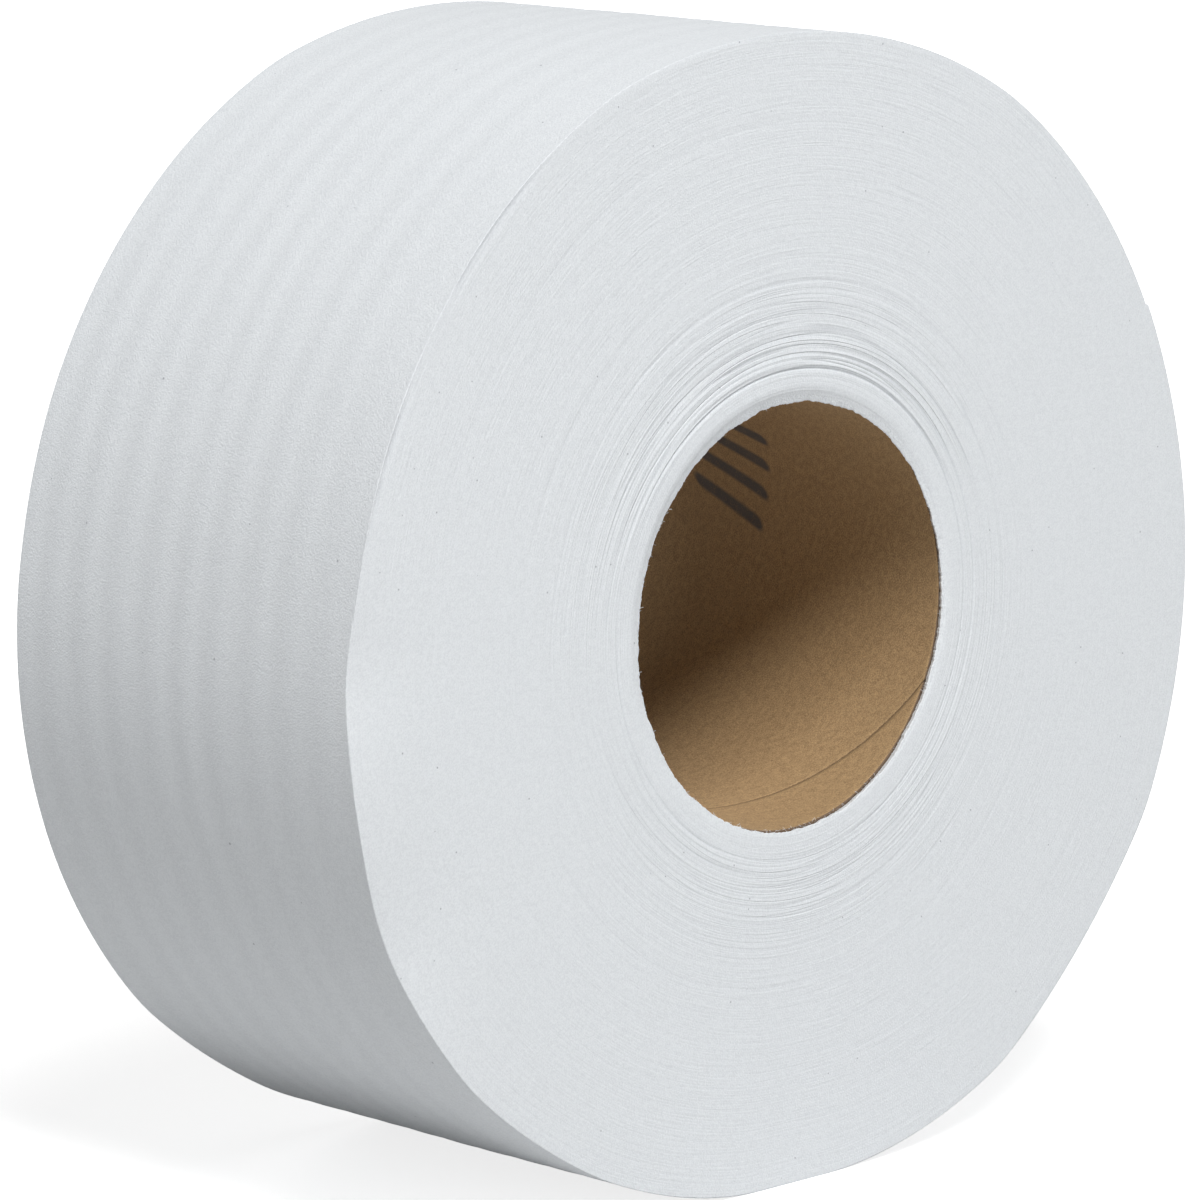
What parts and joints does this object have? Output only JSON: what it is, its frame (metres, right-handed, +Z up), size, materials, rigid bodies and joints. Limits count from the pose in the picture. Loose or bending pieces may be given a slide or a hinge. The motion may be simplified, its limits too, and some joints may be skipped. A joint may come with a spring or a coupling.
{
  "type": "toilet paper roll",
  "caption": "Jumbo toilet paper roll: white tissue wound on an open kraft board core, with soft flats pressed low on its rim and a small flat that it stands on.",
  "frame": {"origin": "middle of the core's bore, at half the roll's width", "axes": "+Y along the bore, from the front end to the rear end; +Z up, away from the small flat that the roll stands on"},
  "size_m": [0.2295, 0.095, 0.2249],
  "materials": {
    "tissue": "soft matt creped tissue",
    "core_board": "uncoated kraft board"
  },
  "bodies": {
    "root": {"tissue_roll": "tissue", "core_tube": "core_board"}
  },
  "joints": []
}
